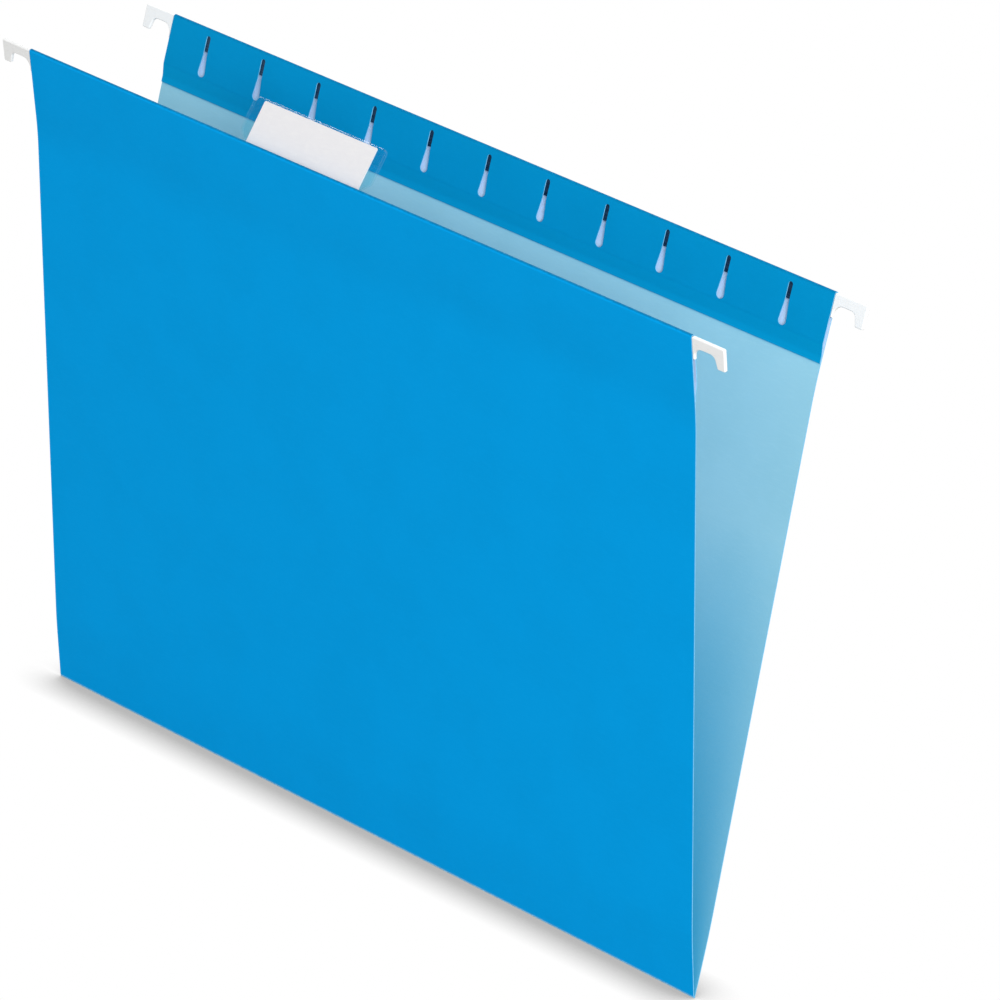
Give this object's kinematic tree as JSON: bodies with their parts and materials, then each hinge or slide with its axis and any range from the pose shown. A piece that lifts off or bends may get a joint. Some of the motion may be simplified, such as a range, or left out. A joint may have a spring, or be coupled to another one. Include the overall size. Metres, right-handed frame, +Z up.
{
  "type": "hanging file folder",
  "caption": "Card folder in a V that hangs from two rails by hooked flat rods in its hems, with a clear index tab and paper label plugged into the front hem.",
  "frame": {"origin": "midway between the two leaves, at the level of the hook roofs that sit on the rails", "axes": "+X along the top edges, to the right as seen from the front; +Y from the front leaf to the rear leaf; +Z up"},
  "size_m": [0.3254, 0.066, 0.2436],
  "materials": {
    "card": "matte",
    "rod_steel": "satin",
    "hook_coating": "satin",
    "glue": "satin",
    "clear_sheet": "gloss",
    "label_paper": "matte"
  },
  "bodies": {
    "rear_leaf": {"rear_panel": "card", "rear_rod": "rod_steel", "rear_left_hook_coating": "hook_coating", "rear_right_hook_coating": "hook_coating", "rear_glue_line": "glue"},
    "front_leaf": {"front_panel": "card", "front_rod": "rod_steel", "front_left_hook_coating": "hook_coating", "front_right_hook_coating": "hook_coating", "front_glue_line": "glue"},
    "tab": {"index_tab": "clear_sheet"},
    "label": {"label_insert": "label_paper"}
  },
  "joints": [
    {"name": "bottom_fold", "type": "hinge", "parent": "rear_leaf", "child": "front_leaf", "pos_m": [0, 0, -0.22893], "axis": [1, 0, 0], "range_deg": [-12.9, 163]},
    {"name": "tab_slide", "type": "slide", "parent": "front_leaf", "child": "tab", "axis": [0, -0.2028, 0.9792], "range_m": [-0.0029, 0]},
    {"name": "label_slide", "type": "slide", "parent": "tab", "child": "label", "axis": [1, 0, 0], "range_m": [-0.045, 0.045]}
  ]
}
